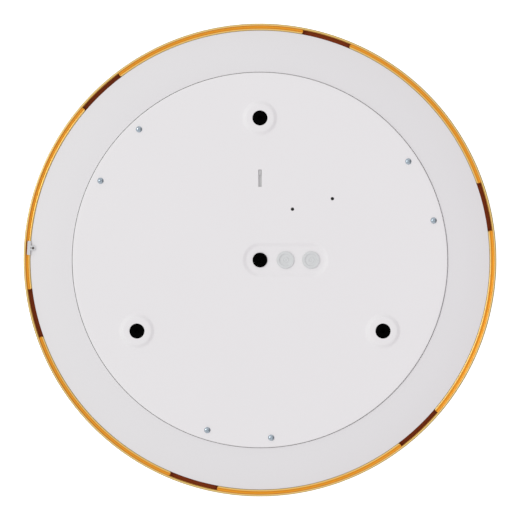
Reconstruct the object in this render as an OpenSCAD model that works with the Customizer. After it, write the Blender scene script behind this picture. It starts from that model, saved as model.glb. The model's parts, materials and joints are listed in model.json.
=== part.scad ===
// Round surface-mounted ceiling light with a twist-off trim ring.
// Origin: centre of the ceiling face. +Z points up into the ceiling, the light hangs below it.

/* [Overall size] */
// Diameter over the trim ring
overall_d = 500; // [480:2:540]
// Height from the ceiling face to the lowest point of the diffuser
overall_h = 72; // [70:1:90]

/* [Ceiling plate] */
// Diameter of the ceiling plate
plate_d = 396.4; // [390:0.2:400]
// Sheet thickness of the plate and the pan
sheet_t = 1.2; // [1.0:0.1:1.4]
// Height of the fixing bosses above the plate's flat
boss_h = 2; // [2:0.1:2.5]
// Depth of the cable-entry recess below the plate's flat
recess_h = 1.5; // [1:0.1:2]
// Radius of a boss, and of the recess's round ends, half way up the slope
dimple_r = 16.3; // [15:0.1:18]
// Pitch circle diameter of the three ceiling fixings
fixing_pcd = 300; // [280:5:310]
// Hole diameter through a fixing grommet
fixing_hole_d = 5; // [4:0.5:6]
// Hole diameter through the cable grommet
cable_hole_d = 8; // [6:0.5:9]

/* [Trim ring] */
// Wall thickness of the trim ring
ring_t = 2.1; // [1.8:0.1:2.4]
// Drop from the ceiling face to the ring's top edge
ring_top = 6; // [5.5:0.1:7]
// Number of bayonet notches and lugs
bayonet_n = 6; // [3:1:6]
// Angle of the first notch's middle
notch_angle = 13.3; // [10:0.1:16]
// Angular width of a notch
notch_sweep = 12.7; // [11:0.1:13.5]
// Angle that the ring turns from locked to free
unlock_angle = 22; // [18:1:26]

/* [Light source] */
// Emitters on each outer board
outer_leds = 12; // [6:1:16]
// Emitters on each middle board
middle_leds = 12; // [6:1:16]
// Emitters on each inner board
inner_leds = 8; // [4:1:12]

/* [Hidden] */

fn_big = 180;
fn_small = 48;
eps = 0.01;

// Radii
ring_r = overall_d / 2;
ring_in_r = ring_r - ring_t;
plate_r = plate_d / 2;
pan_r = ring_r - 7.2;
flange_in_r = pan_r + 0.35;
fixing_r = fixing_pcd / 2;
plate_screw_r = plate_r - 10.1;
// The groove in the pan that the plate's skirt hangs in
groove_in_r = plate_r - 4;
groove_out_r = plate_r + 0.55;

// Levels
plate_z = -boss_h;
plate_under = plate_z - sheet_t;
skirt_z = plate_z - 4.2;
groove_z = skirt_z - 0.8;
cone_in_z = plate_z - 1.6;
flange_z = -ring_top - 3.15;
flange_under = -ring_top - 4.3;
cone_out_z = flange_z + 1.3;
lug_top = flange_under - 0.4;
ledge_top = flange_under - 2.6;
ledge_t = 1;
pan_lip_z = -30;
tray_top = pan_lip_z - sheet_t;
tray_t = 1;
board_t = 1;
lip_z = -overall_h + 13.6;
lip_t = 1.6;

// Angles of the three screw pairs, and half the angle between a pair's two screws
pair_angles = [for (i = [0:2]) 23.2 + 120 * i];
pair_half = 10.4;
fixing_angles = [90, 210, 330];
lug_angles = [for (i = [0:bayonet_n - 1]) notch_angle - unlock_angle + i * 360 / bayonet_n];

// Cable entries lie on a line from the centre
entry_pitch = 27;
slot_y = 86.4;
slot_w = 3.4;
slot_l = 18;
knob_l = 5;
knob_gap = 0.5;
tab_angle = 177;

// Terminal block: the middle of its two pegs, its turn and the distance between the pegs
block_at = [55.4, 59.25];
block_turn = 14.7;
peg_pitch = 43.6;
peg_hole_d = 3.3;
block_l = 54;
block_w = 24;
block_h = 16;
pole_pitch = 11;

driver_at = [0, -75];
driver_l = 156;
driver_w = 46;
driver_h = 21;
driver_wall = 1.8;
driver_foot = 2.2;
// Where the leads pass down through the tray
lead_hole = [-109.5, -46.5];

// Routes of the internal leads
lead_d = 2.2;
thin_d = 1.6;
live_route = [[48.6, 44.7, -7.8], [50.5, 38.5, -9], [60, 24, -14], [92, 2, -18], [104, -30, -20],
    [98, -62, -19], [84, -70, -18], [77.6, -70, -17.8]];
neutral_route = [[69.9, 50.3, -7.8], [71.8, 44, -9], [80, 28, -14], [104, 4, -16], [114, -34, -18],
    [108, -76, -19], [90, -80, -18], [77.6, -80, -17.8]];
earth_route = [[59.3, 47.4, -7.8], [61, 41.4, -9], [66, 33, -11], [76, 30, -10], [84, 33.6, -8],
    [89, 34, -7.8]];
output_routes = [
    [[-77.6, -72, -17.8], [-86, -72, -18.5], [-98, -60, -23], [-106, -49, -28], [-108, -45, -33],
        [-112, -46, -35.6], [-118, -48.5, -35.4], [-122.4, -50.4, -34.3]],
    [[-77.6, -78, -17.8], [-88, -78, -18.5], [-103, -64, -23], [-110, -53, -28], [-110.5, -49, -33],
        [-114, -50.4, -35.6], [-117.6, -52, -35.4], [-120.6, -53.6, -34.3]]];
outward_routes = [
    [[-132, -60, -34.3], [-138, -62.6, -35.6], [-150, -68, -35.6], [-168, -76, -35.6],
        [-176, -79.8, -34.3]],
    [[-130.2, -63.6, -34.3], [-136, -66.4, -35.6], [-148, -72, -35.6], [-166, -80.6, -35.6],
        [-174, -84.4, -34.3]]];
inward_routes = [
    [[-124, -46, -34.3], [-118, -42, -35.6], [-104, -34, -35.6], [-88, -28, -35.6], [-78.2, -25.2, -34.3]],
    [[-125.6, -42, -34.3], [-120, -38, -35.6], [-106, -30, -35.6], [-90, -24, -35.6],
        [-80, -20, -34.3]]];

// Points of an arc, from angle a0 to a1
function arc(c, r, a0, a1, n = 6) =
    [for (i = [0:n]) c + r * [cos(a0 + (a1 - a0) * i / n), sin(a0 + (a1 - a0) * i / n)]];

// A point of a smooth curve through four route points, at share t of the middle stretch
function between(p, q, r, s, t) = 0.5 * ((2 * q) + (r - p) * t
    + (2 * p - 5 * q + 4 * r - s) * t * t + (3 * q - p - 3 * r + s) * t * t * t);
// A route with its ends repeated, and the smooth curve through it
function padded(route) = concat([route[0]], route, [route[len(route) - 1]]);
function curve(route, steps) = let (p = padded(route), n = len(route)) concat(
    [for (i = [0:n - 2], j = [0:steps - 1]) between(p[i], p[i + 1], p[i + 2], p[i + 3], j / steps)],
    [route[n - 1]]);
function unit(v) = v / norm(v);

// A tube of round section swept along a route
module lead(route, d, sides = 8, steps = 5) {
    path = curve(route, steps);
    n = len(path);
    function ahead(i) = unit(path[min(i + 1, n - 1)] - path[max(i - 1, 0)]);
    rings = [for (i = [0:n - 1]) let (
        t = ahead(i),
        side = unit(cross(t, [0.13, 0.21, 1])),
        up = cross(side, t))
        for (k = [0:sides - 1]) path[i]
            + d / 2 * (cos(360 * k / sides) * side + sin(360 * k / sides) * up)];
    walls = [for (i = [0:n - 2], k = [0:sides - 1]) [
        i * sides + k, i * sides + (k + 1) % sides,
        (i + 1) * sides + (k + 1) % sides, (i + 1) * sides + k]];
    caps = [[for (k = [sides - 1:-1:0]) k], [for (k = [0:sides - 1]) (n - 1) * sides + k]];
    polyhedron(rings, concat(walls, caps), convexity = 6);
}

// A ring with the given section, all the way round or over one sweep
module turned(section) rotate_extrude($fn = fn_big) polygon(section);
module turned_part(section, from, sweep)
    rotate_extrude(angle = sweep, start = from, $fn = fn_big) polygon(section);

module at_angles(angles, r) for (a = angles) rotate([0, 0, a]) translate([r, 0, 0]) children();
module at_plate_screws() for (a = pair_angles, s = [-1, 1])
    rotate([0, 0, a + s * pair_half]) translate([plate_screw_r, 0, 0]) children();

// A round stamped form between two levels, and the same drawn out along +X
module stamp(r_low, r_high, z_low, z_high)
    translate([0, 0, z_low]) cylinder(h = z_high - z_low, r1 = r_low, r2 = r_high, $fn = fn_small * 2);
module long_stamp(r_low, r_high, z_low, z_high, length) {
    stamp(r_low, r_high, z_low, z_high);
    translate([length, 0, 0]) stamp(r_low, r_high, z_low, z_high);
    rotate([90, 0, 90]) linear_extrude(length)
        polygon([[-r_low, z_low], [r_low, z_low], [r_high, z_high], [-r_high, z_high]]);
}

// A plug through a sheet hole, with a flange on each side of the sheet and a groove between
module grommet(top, bottom, flange_r, neck_r, flange_t, bore_r) difference() {
    union() {
        translate([0, 0, top - flange_t]) cylinder(h = flange_t, r = flange_r, $fn = fn_small * 2);
        translate([0, 0, bottom]) cylinder(h = top - bottom, r = neck_r, $fn = fn_small * 2);
        translate([0, 0, bottom]) cylinder(h = 1.4, r = neck_r + 1.4, $fn = fn_small * 2);
    }
    translate([0, 0, bottom - 1]) cylinder(h = top - bottom + 2, r = bore_r, $fn = fn_small);
}

// Pan-head screw with a cross recess. Its head sits on z = 0 and its shank points down.
module pan_screw(head_d, head_h, shank_d, length) {
    difference() {
        rotate_extrude($fn = fn_small) polygon(concat([[0, 0], [head_d / 2, 0]],
            [for (i = [0:5]) [head_d / 2 * (1 - 0.13 * (1 - cos(15 * i))) * cos(9 * i),
                head_h * (0.45 + 0.55 * sin(18 * i))]], [[0, head_h]]));
        for (a = [0, 90]) rotate([0, 0, a]) translate([-head_d * 0.27, -head_d * 0.055, head_h * 0.45])
            cube([head_d * 0.54, head_d * 0.11, head_h]);
    }
    translate([0, 0, -length]) cylinder(h = length + eps, d = shank_d, $fn = fn_small);
}

// Ceiling plate: flat sheet with a rolled-down skirt, three raised bosses and one long recess
grommet_neck_r = 5.4;
seat_r = 8;
seat_depth = 1;
slope_half = 1.5;
spare_neck_r = 6.8;
module ceiling_plate() color("gainsboro") {
    roll = 1.6;
    skirt = concat(
        [[0, plate_z]], arc([plate_r - roll, plate_z - roll], roll, 90, 0, 5),
        [[plate_r, skirt_z], [plate_r - sheet_t, skirt_z]],
        arc([plate_r - roll, plate_z - roll], roll - sheet_t, 0, 90, 3), [[0, plate_under]]);
    difference() {
        union() {
            turned(skirt);
            at_angles(fixing_angles, fixing_r)
                stamp(dimple_r + slope_half, dimple_r - slope_half, plate_z - eps, 0);
            long_stamp(dimple_r - slope_half, dimple_r + slope_half,
                plate_z - recess_h - sheet_t, plate_under + eps, entry_pitch * 2);
            at_angles(fixing_angles, fixing_r)
                translate([0, 0, plate_under]) cylinder(h = boss_h, r = seat_r + 1.2, $fn = fn_small);
        }
        at_angles(fixing_angles, fixing_r) difference() {
            stamp(dimple_r + slope_half - sheet_t, dimple_r - slope_half - sheet_t,
                plate_under - eps, -sheet_t);
            translate([0, 0, plate_under - 1]) cylinder(h = boss_h + 2, r = seat_r + 1.2, $fn = fn_small);
        }
        at_angles(fixing_angles, fixing_r) {
            translate([0, 0, -seat_depth]) cylinder(h = 2, r = seat_r, $fn = fn_small * 2);
            translate([0, 0, -6]) cylinder(h = 8, r = grommet_neck_r + 0.05, $fn = fn_small * 2);
        }
        long_stamp(dimple_r - slope_half - 0.4, dimple_r + slope_half - 0.4,
            plate_z - recess_h, plate_z + eps, entry_pitch * 2);
        translate([0, 0, -8]) cylinder(h = 8, r = grommet_neck_r + 0.05, $fn = fn_small * 2);
        for (i = [1:2]) translate([i * entry_pitch, 0, -8])
            cylinder(h = 8, r = spare_neck_r + 0.05, $fn = fn_small * 2);
        translate([-slot_w / 2, slot_y - slot_l / 2, -8]) cube([slot_w, slot_l, 8]);
        at_plate_screws() translate([0, 0, plate_z - 6])
            cylinder(h = 8, d = screw_hole_d, $fn = fn_small);
        on_block() for (s = [-1, 1]) translate([s * peg_pitch / 2, 0, -8])
            cylinder(h = 8, d = peg_hole_d, $fn = fn_small);
    }
}

// Body pan: seat under the plate, a groove for the plate's skirt, shallow cone, outer wall with
// bayonet lugs, and an inward lip
lug_sweep = 8;
lug_reach = 4.5;
lug_t = 1.4;
seat_w = 22.5;
screw_hole_d = 3.9;
module body_pan() color("white") {
    seat_in_r = groove_in_r - seat_w;
    bend = 0.4;
    soft = 0.6;
    under_z = plate_under - sheet_t;
    section = concat(
        [[seat_in_r, plate_under], [groove_in_r - 1, plate_under], [groove_in_r, plate_under - 1],
            [groove_in_r, groove_z + soft], [groove_in_r + soft, groove_z], [groove_out_r, groove_z],
            [groove_out_r, cone_in_z - soft]],
        arc([groove_out_r + soft, cone_in_z - soft], soft, 180, 96, 4),
        arc([pan_r - bend, cone_out_z - bend], bend, 84, 0, 4),
        [[pan_r, tray_top + 1]], arc([pan_r - 1, tray_top + 1], 1, 0, -90, 3),
        [[pan_r - 9, tray_top], [pan_r - 9, pan_lip_z], [pan_r - sheet_t, pan_lip_z],
            [pan_r - sheet_t, cone_out_z - sheet_t - 0.1],
            [groove_out_r + sheet_t, cone_in_z - sheet_t - 0.1],
            [groove_out_r + sheet_t, groove_z - sheet_t], [groove_in_r - sheet_t, groove_z - sheet_t],
            [groove_in_r - sheet_t, under_z - soft], [groove_in_r - sheet_t - soft, under_z],
            [seat_in_r, under_z]]);
    lug = [[pan_r - 0.6, lug_top], [pan_r + lug_reach, lug_top], [pan_r + lug_reach, lug_top - lug_t],
        [pan_r - 0.6, lug_top - lug_t]];
    difference() {
        union() {
            turned(section);
            for (a = lug_angles) turned_part(lug, a - lug_sweep / 2, lug_sweep);
        }
        at_plate_screws() translate([0, 0, plate_z - 6])
            cylinder(h = 8, d = screw_hole_d, $fn = fn_small);
        rotate([0, 0, tab_angle]) translate([ear_r, 0, cone_out_z - 4])
            cylinder(h = 6, d = 1.7, $fn = fn_small);
    }
}

module fixing_grommets() color("black") at_angles(fixing_angles, fixing_r)
    grommet(0, -5.4, seat_r - 0.2, grommet_neck_r, seat_depth - eps, fixing_hole_d / 2);

entry_top = plate_z - recess_h + 1.2;
module cable_grommet() color("black")
    grommet(entry_top, plate_z - recess_h - sheet_t - 2.6, seat_r - 0.2, grommet_neck_r,
        1.2, cable_hole_d / 2);

// Blanked entries: flange, groove and a thin ringed membrane that is cut out when needed
module spare_grommets() color("silver") for (i = [1:2]) translate([i * entry_pitch, 0, 0]) {
    low = plate_z - recess_h - sheet_t - 1.8;
    rotate_extrude($fn = fn_small * 2) polygon([
        [0, low + 0.4], [spare_neck_r - 1.6, low + 0.4], [spare_neck_r - 1.6, low - 0.6],
        [spare_neck_r + 1.2, low - 0.6], [spare_neck_r + 1.2, low + 0.8],
        [spare_neck_r, low + 1.8 - 0.9], [spare_neck_r, plate_z - recess_h],
        [9.2, plate_z - recess_h], [9.2, entry_top - 0.4], [8.8, entry_top], [6.6, entry_top],
        [6, entry_top - 0.7], [3.4, entry_top - 0.7], [3, entry_top - 0.3], [2.4, entry_top - 0.3],
        [2, entry_top - 0.7], [0.9, entry_top - 0.7], [0.7, entry_top - 0.2], [0, entry_top - 0.2]]);
}

screw_len = 9;
module plate_screws() color("slategray") for (a = pair_angles, s = [-1, 1])
    rotate([0, 0, a + s * pair_half]) translate([plate_screw_r, 0, plate_z])
        rotate([0, 0, 37 * s - a]) pan_screw(6.5, 1.85, 3.4, screw_len);

// Brackets: an outer foot under the pan's seat, a web, and an inner foot that carries the tray
bracket_sweep = 26;
bracket_t = 1.5;
foot_r = plate_screw_r - 18;
module tray_brackets() color("lightgray") difference() {
    top = plate_under - sheet_t;
    web_r = plate_screw_r - 8;
    z_section = [[web_r, top], [web_r + 11.5, top], [web_r + 11.5, top - bracket_t],
        [web_r + bracket_t, top - bracket_t], [web_r + bracket_t, tray_top],
        [web_r - 17, tray_top], [web_r - 17, tray_top + bracket_t], [web_r, tray_top + bracket_t]];
    for (a = pair_angles) turned_part(z_section, a - bracket_sweep / 2, bracket_sweep);
    for (a = pair_angles, s = [-1, 1]) rotate([0, 0, a + s * pair_half])
        translate([plate_screw_r, 0, top - 5]) cylinder(h = 8, d = 3.5, $fn = fn_small);
    for (a = pair_angles) rotate([0, 0, a]) translate([foot_r, 0, tray_top - 3])
        cylinder(h = 8, d = 3.5, $fn = fn_small);
}

// Hold-down tab: an ear screwed to the pan's edge, with a nose that reaches over the ring's flange
tab_top = -ring_top;
tab_t = 1.2;
tab_w = 14.8;
nose_in_r = pan_r + 0.1;
nose_out_r = pan_r + 3.6;
ear_r = pan_r - 2.5;
ear_size = 2.6;
// The pan's face under the ear's inner edge
foot_z = cone_out_z + (pan_r - ear_r + ear_size) * (cone_in_z - cone_out_z) / (pan_r - groove_out_r);
module hold_down_tab() color("whitesmoke") rotate([0, 0, tab_angle]) difference() {
    union() {
        translate([nose_in_r, -tab_w / 2, tab_top - tab_t]) cube([nose_out_r - nose_in_r, tab_w, tab_t]);
        translate([ear_r, 0, foot_z]) cylinder(h = tab_top - foot_z, r = ear_size, $fn = fn_small);
        translate([ear_r, -ear_size, tab_top - tab_t]) cube([nose_in_r - ear_r + 1, ear_size * 2, tab_t]);
    }
    translate([ear_r, 0, cone_out_z - 1]) cylinder(h = 6, d = 1.8, $fn = fn_small);
    translate([ear_r, 0, tab_top - 0.7]) cylinder(h = 2, d = 2.8, $fn = fn_small);
    translate([pan_r - 0.2, 0, tab_top - 3]) cylinder(h = 6, d = 1.3, $fn = fn_small);
}

module tab_screw() color("dimgray") rotate([0, 0, tab_angle])
    translate([ear_r, 0, tab_top - 0.7]) pan_screw(2.6, 0.6, 1.6, 4.6);

// Selector: a slide switch behind the slot. Its knob stands on a strip that keeps the slot covered.
strip_l = 30;
channel_w = 6.4;
channel_l = strip_l + slot_l - knob_l - 2 * knob_gap + 1;
channel_deep = 4;
selector_w = 15;
selector_l = channel_l + 5;
selector_h = 10;
module selector_body() color("darkgray") translate([0, slot_y, 0]) difference() {
    translate([-selector_w / 2, -selector_l / 2, plate_under - selector_h])
        cube([selector_w, selector_l, selector_h]);
    translate([-channel_w / 2, -channel_l / 2, plate_under - channel_deep])
        cube([channel_w, channel_l, channel_deep + 1]);
}
module selector_knob() color("silver")
    translate([0, slot_y + (slot_l - knob_l) / 2 - knob_gap, 0]) {
        slider_w = 5.4;
        slider_l = 8.4;
        strip_t = 0.6;
        knob_w = slot_w - 0.6;
        strip_z = plate_under - 0.4 - strip_t;
        translate([-slider_w / 2, -slider_l / 2, plate_under - 3.6]) cube([slider_w, slider_l, 3.2]);
        translate([-slider_w / 2, -strip_l / 2, strip_z]) cube([slider_w, strip_l, strip_t]);
        translate([-knob_w / 2, -knob_l / 2, strip_z]) cube([knob_w, knob_l, plate_z - 0.6 - strip_z]);
        translate([-knob_w / 2, -0.5, plate_z - 0.7]) cube([knob_w, 1, 0.4]);
    }

// Places something in the terminal block's own frame: X along its pegs
module on_block() translate([block_at[0], block_at[1], 0]) rotate([0, 0, block_turn]) children();
poles = [-1, 0, 1] * pole_pitch;
button_l = 5;
button_w = 8;
module terminal_block() color("ghostwhite") on_block() difference() {
    union() {
        translate([-block_l / 2, -block_w / 2, plate_under - block_h]) cube([block_l, block_w, block_h]);
        translate([-block_l / 2 - 18, -block_w / 2 - 14, plate_under - 3]) cube([30, 16, 3]);
    }
    for (s = [-1, 1]) translate([s * peg_pitch / 2, 0, plate_under - block_h - 1])
        cylinder(h = block_h + 2, d = peg_hole_d, $fn = fn_small);
    for (x = poles) {
        translate([x - button_l / 2 - 0.3, -button_w / 2 - 0.3, plate_under - block_h - 1])
            cube([button_l + 0.6, button_w + 0.6, 11]);
        for (s = [-1, 1]) translate([x, s * block_w / 2, plate_under - 4.5]) rotate([s * 90, 0, 0])
            translate([0, 0, -7]) cylinder(h = 8, d = 3.4, $fn = fn_small);
        translate([x - 3.2, -6, plate_under - 6.5]) cube([6.4, 12, 4]);
    }
    for (s = [-1, 1]) translate([-block_l / 2 - 9 + s * 7, -block_w / 2 - 7, plate_under - 4])
        cylinder(h = 5, d = 2.6, $fn = fn_small);
}
module terminal_contacts() color("goldenrod") on_block() for (x = poles) {
    translate([x - 2.6, -5.6, plate_under - 3.2]) cube([5.2, 11.2, 0.6]);
    translate([x - 2.6, -5.6, plate_under - 6.2]) cube([5.2, 0.5, 3]);
}
// A bent leaf over each pole's button, which pushes it back and grips the wire
module clamp_springs() color("silver") on_block() for (x = poles)
    translate([x - 2, 0, plate_under - 6.2]) rotate([90, 0, 90]) linear_extrude(4)
        polygon([[-4, 0], [-4, -0.4], [0, -1.5], [4, -0.4], [4, 0], [0, -1.1]]);
module terminal_pegs() color("black") on_block() for (s = [-1, 1])
    translate([s * peg_pitch / 2, 0, plate_under - block_h - 1.6]) {
        cylinder(h = block_h + sheet_t + 1.5, d = peg_hole_d - 0.2, $fn = fn_small);
        cylinder(h = 1.5, d = 5.4, $fn = fn_small);
    }
// A push button: a plain stem with a ribbed foot that stands out of the block
module button(pole) on_block() {
    low = plate_under - block_h - 2;
    difference() {
        translate([pole - button_l / 2, -button_w / 2, low]) cube([button_l, button_w, 8.4]);
        for (y = [-2.4:1.6:2.4]) translate([pole - button_l, y - 0.3, low - 0.1])
            cube([button_l * 2, 0.6, 0.5]);
    }
}
module button_live() color("saddlebrown") button(poles[0]);
module button_neutral() color("royalblue") button(poles[2]);
module button_earth() color("limegreen") button(poles[1]);

// Cord grip: a saddle bar over the terminal block's arm
module cord_grip() color("ghostwhite") on_block()
    translate([-block_l / 2 - 9, -block_w / 2 - 7, plate_under - 3]) difference() {
        translate([-11, -4, -9.5]) cube([22, 8, 9.5]);
        translate([0, 5, -2.6]) rotate([90, 0, 0]) cylinder(h = 10, d = 8, $fn = fn_small);
        translate([-4, -5, -2.6]) cube([8, 10, 3]);
        for (s = [-1, 1]) translate([s * 7, 0, -10]) cylinder(h = 12, d = 3.2, $fn = fn_small);
        for (s = [-1, 1]) translate([s * 7, 0, -10]) cylinder(h = 2.6, d = 6, $fn = fn_small);
    }
module cord_grip_screws() color("silver") on_block() for (s = [-1, 1])
    translate([-block_l / 2 - 9 + s * 7, -block_w / 2 - 7, plate_under - 10.4])
        rotate([180, 0, 0]) pan_screw(5.4, 1.6, 2.5, 9);

// Protective earth: a stud welded under the plate, a ring tag and a nut
earth_at = [104, 34];
module on_earth() translate([earth_at[0], earth_at[1], 0]) children();
module earth_stud() color("silver") on_earth() translate([0, 0, plate_under - 14])
    cylinder(h = 14, d = 4, $fn = fn_small);
module earth_tag() color("khaki") on_earth() difference() {
    union() {
        translate([0, 0, plate_under - 5]) cylinder(h = 0.8, d = 9, $fn = fn_small);
        translate([-14, -2, plate_under - 5]) cube([12, 4, 0.8]);
        translate([-16, 0, plate_under - 4.6]) rotate([0, 90, 0]) cylinder(h = 6, d = 3.8, $fn = fn_small);
    }
    translate([0, 0, plate_under - 7]) cylinder(h = 6, d = 4.2, $fn = fn_small);
    translate([-17, 0, plate_under - 4.6]) rotate([0, 90, 0]) cylinder(h = 5, d = 2.7, $fn = fn_small);
}
module earth_nut() color("silver") on_earth() translate([0, 0, plate_under - 8.4]) difference() {
    cylinder(h = 3.2, d = 8.1, $fn = 6);
    translate([0, 0, -1]) cylinder(h = 6, d = 4.1, $fn = fn_small);
}

// Internal leads, each held at both ends
module lead_live() color("sienna") lead(live_route, lead_d);
module lead_neutral() color("royalblue") lead(neutral_route, lead_d);
module lead_earth() color("yellowgreen") lead(earth_route, lead_d);
module output_leads() for (i = [0, 1]) color(["firebrick", "dimgray"][i]) lead(output_routes[i], thin_d);
module ring_links() for (i = [0, 1]) color(["firebrick", "dimgray"][i]) {
    lead(outward_routes[i], thin_d);
    lead(inward_routes[i], thin_d);
}

// Insulating sheet that lies on the tray under the wiring, cut out round the driver and the leads
module insulating_sheet() color("black") difference() {
    side = 14;
    translate([0, 0, tray_top]) cylinder(h = 0.5, r = 160, $fn = fn_big);
    translate([driver_at[0] - driver_l / 2 - side, driver_at[1] - driver_w / 2 - 3, tray_top - 1])
        cube([driver_l + 2 * side, driver_w + 6, 3]);
    translate([lead_hole[0], lead_hole[1], tray_top - 1]) cylinder(h = 3, r = 9, $fn = fn_small);
    at_board_screws() translate([0, 0, board_t]) cylinder(h = 4, d = 4.5, $fn = fn_small);
}

// Driver: an open case on the tray with a lid, a board and its parts
module on_driver() translate([driver_at[0], driver_at[1], tray_top + driver_foot]) children();
module driver_case() color("whitesmoke") on_driver() difference() {
    union() {
        translate([-driver_l / 2, -driver_w / 2, 0]) cube([driver_l, driver_w, driver_h - driver_wall]);
        for (s = [-1, 1]) translate([s * (driver_l / 2 + 4) - 5, -driver_w / 2 + 30, -driver_foot])
            cube([10, 10, driver_foot + 2.4]);
        for (s = [-1, 1]) translate([s * (driver_l / 2 - 5), -driver_w / 2 + 5, -driver_foot])
            cylinder(h = driver_foot + eps, d = 6, $fn = fn_small);
    }
    translate([-driver_l / 2 + driver_wall, -driver_w / 2 + driver_wall, driver_wall])
        cube([driver_l - 2 * driver_wall, driver_w - 2 * driver_wall, driver_h]);
    for (s = [-1, 1]) translate([s * (driver_l / 2 + 4.5), -driver_w / 2 + 35, -driver_foot - 1])
        cylinder(h = 8, d = 3.4, $fn = fn_small);
    for (y = [-5, 5]) translate([driver_l / 2 - 3, y, 11.2]) rotate([0, 90, 0])
        cylinder(h = 4, d = 3.4, $fn = fn_small);
    for (y = [-3, 3]) translate([-driver_l / 2 - 1, y, 11.2]) rotate([0, 90, 0])
        cylinder(h = 4, d = 2.6, $fn = fn_small);
}
module driver_cover() color("white") on_driver() difference() {
    translate([-driver_l / 2, -driver_w / 2, driver_h - driver_wall])
        cube([driver_l, driver_w, driver_wall]);
    for (x = [-54:6:54]) translate([x - 1, -12, driver_h - driver_wall - 1]) cube([2, 24, 4]);
}
module driver_board() color("darkgreen") on_driver()
    translate([-driver_l / 2 + 3, -driver_w / 2 + 3, 4.4]) cube([driver_l - 6, driver_w - 6, 1.6]);
module driver_transformer() color("gold") on_driver() {
    translate([2, -11, 6]) cube([22, 22, 2]);
    translate([4, -9, 8]) cube([18, 18, 8.4]);
    translate([0.5, -4, 8]) cube([25, 8, 9.6]);
}
module driver_capacitors() color("midnightblue") on_driver() {
    for (x = [-30, -44]) translate([x, 6, 6]) cylinder(h = 11.6, d = 10, $fn = fn_small);
    translate([36, -14, 6]) cube([6, 13, 10]);
}
module driver_choke() color("peru") on_driver() translate([-20, -9, 6]) difference() {
    cylinder(h = 7, d = 14, $fn = fn_small);
    translate([0, 0, -1]) cylinder(h = 9, d = 6, $fn = fn_small);
}
module driver_terminals() color("ivory") on_driver() {
    translate([driver_l / 2 - 17, -9, 6]) difference() {
        cube([11, 18, 9]);
        for (y = [4, 14]) translate([4, y, 5.2]) rotate([0, 90, 0])
            cylinder(h = 8, d = 2.6, $fn = fn_small);
    }
    translate([-driver_l / 2 + 6, -7, 6]) difference() {
        cube([10, 14, 9]);
        for (y = [4, 10]) translate([-1, y, 5.2]) rotate([0, 90, 0])
            cylinder(h = 7, d = 2, $fn = fn_small);
    }
}
module driver_screws() color("silver") on_driver() for (s = [-1, 1])
    translate([s * (driver_l / 2 + 4.5), -driver_w / 2 + 35, 2.4]) pan_screw(6, 1.8, 3, 7.4);

// Reflector tray, held by one screw on each bracket
tray_r = pan_r - 3.5;
tray_low = tray_top - tray_t;
outer_r = 200;
middle_r = 138;
inner_r = 76;
board_w = 14;
screw_in = 4;
// Start angles and sweep of each ring's boards
function starts(n, first) = [for (i = [0:n - 1]) first + 360 * i / n];
outer_sweep = 56;
middle_sweep = 84;
inner_sweep = 110;
outer_angles = starts(6, 2);
middle_angles = starts(4, 183);
inner_angles = starts(3, 215);
// Share of a board's sweep that its end screws stand in from its ends
outer_share = 0.08;
middle_share = 0.08;
inner_share = 0.06;
module led_tray() color("white") difference() {
    rim = 1.5;
    turned(concat([[0, tray_top], [tray_r - rim, tray_top]],
        arc([tray_r - rim, tray_top - rim], rim, 90, 0, 4),
        [[tray_r, tray_top - 7], [tray_r - tray_t, tray_top - 7]],
        arc([tray_r - rim, tray_top - rim], rim - tray_t, 0, 90, 3), [[0, tray_low]]));
    for (a = pair_angles) rotate([0, 0, a]) translate([foot_r, 0, tray_top - 4])
        cylinder(h = 6, d = 3.9, $fn = fn_small);
    on_driver() for (s = [-1, 1]) translate([s * (driver_l / 2 + 4.5), -driver_w / 2 + 35, -5])
        cylinder(h = 5, d = 3.1, $fn = fn_small);
    translate([lead_hole[0], lead_hole[1], tray_top - 4]) cylinder(h = 6, d = 14, $fn = fn_small);
    at_board_screws() translate([0, 0, -3]) cylinder(h = 6, d = 2.6, $fn = fn_small);
}
module tray_screws() color("silver") at_angles(pair_angles, foot_r)
    translate([0, 0, tray_low]) rotate([180, 0, 0]) pan_screw(7.4, 2.2, 3.4, 6);

// Every board screw's place, on the boards' underside
module at_ring_screws(angles, r, sweep, share) for (a = angles, f = [share, 1 - share])
    rotate([0, 0, a + f * sweep]) translate([r - screw_in, 0, tray_low - board_t]) children();
module at_board_screws() {
    at_ring_screws(outer_angles, outer_r, outer_sweep, outer_share) children();
    at_ring_screws(middle_angles, middle_r, middle_sweep, middle_share) children();
    at_ring_screws(inner_angles, inner_r, inner_sweep, inner_share) children();
}
// Curved strips that carry the emitters on their underside
module boards(angles, r, sweep, share) difference() {
    z = tray_low - board_t;
    for (a = angles) turned_part([[r - board_w / 2, z], [r + board_w / 2, z],
        [r + board_w / 2, tray_low], [r - board_w / 2, tray_low]], a, sweep);
    at_ring_screws(angles, r, sweep, share) translate([0, 0, -1]) cylinder(h = 4, d = 2.9, $fn = fn_small);
}
module emitters(angles, r, sweep, count) for (a = angles, i = [0:count - 1])
    rotate([0, 0, a + sweep * (i + 0.5) / count]) translate([r + 1.4, -1.75, tray_low - board_t - 0.8])
        cube([2.8, 3.5, 0.8]);
module outer_boards() color("white") boards(outer_angles, outer_r, outer_sweep, outer_share);
module middle_boards() color("white") boards(middle_angles, middle_r, middle_sweep, middle_share);
module inner_boards() color("white") boards(inner_angles, inner_r, inner_sweep, inner_share);
module outer_emitters() color("khaki") emitters(outer_angles, outer_r, outer_sweep, outer_leds);
module middle_emitters() color("khaki") emitters(middle_angles, middle_r, middle_sweep, middle_leds);
module inner_emitters() color("khaki") emitters(inner_angles, inner_r, inner_sweep, inner_leds);
module board_screws() color("silver") at_board_screws() rotate([180, 0, 0]) pan_screw(4.6, 1.4, 2.5, 3.6);
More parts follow.
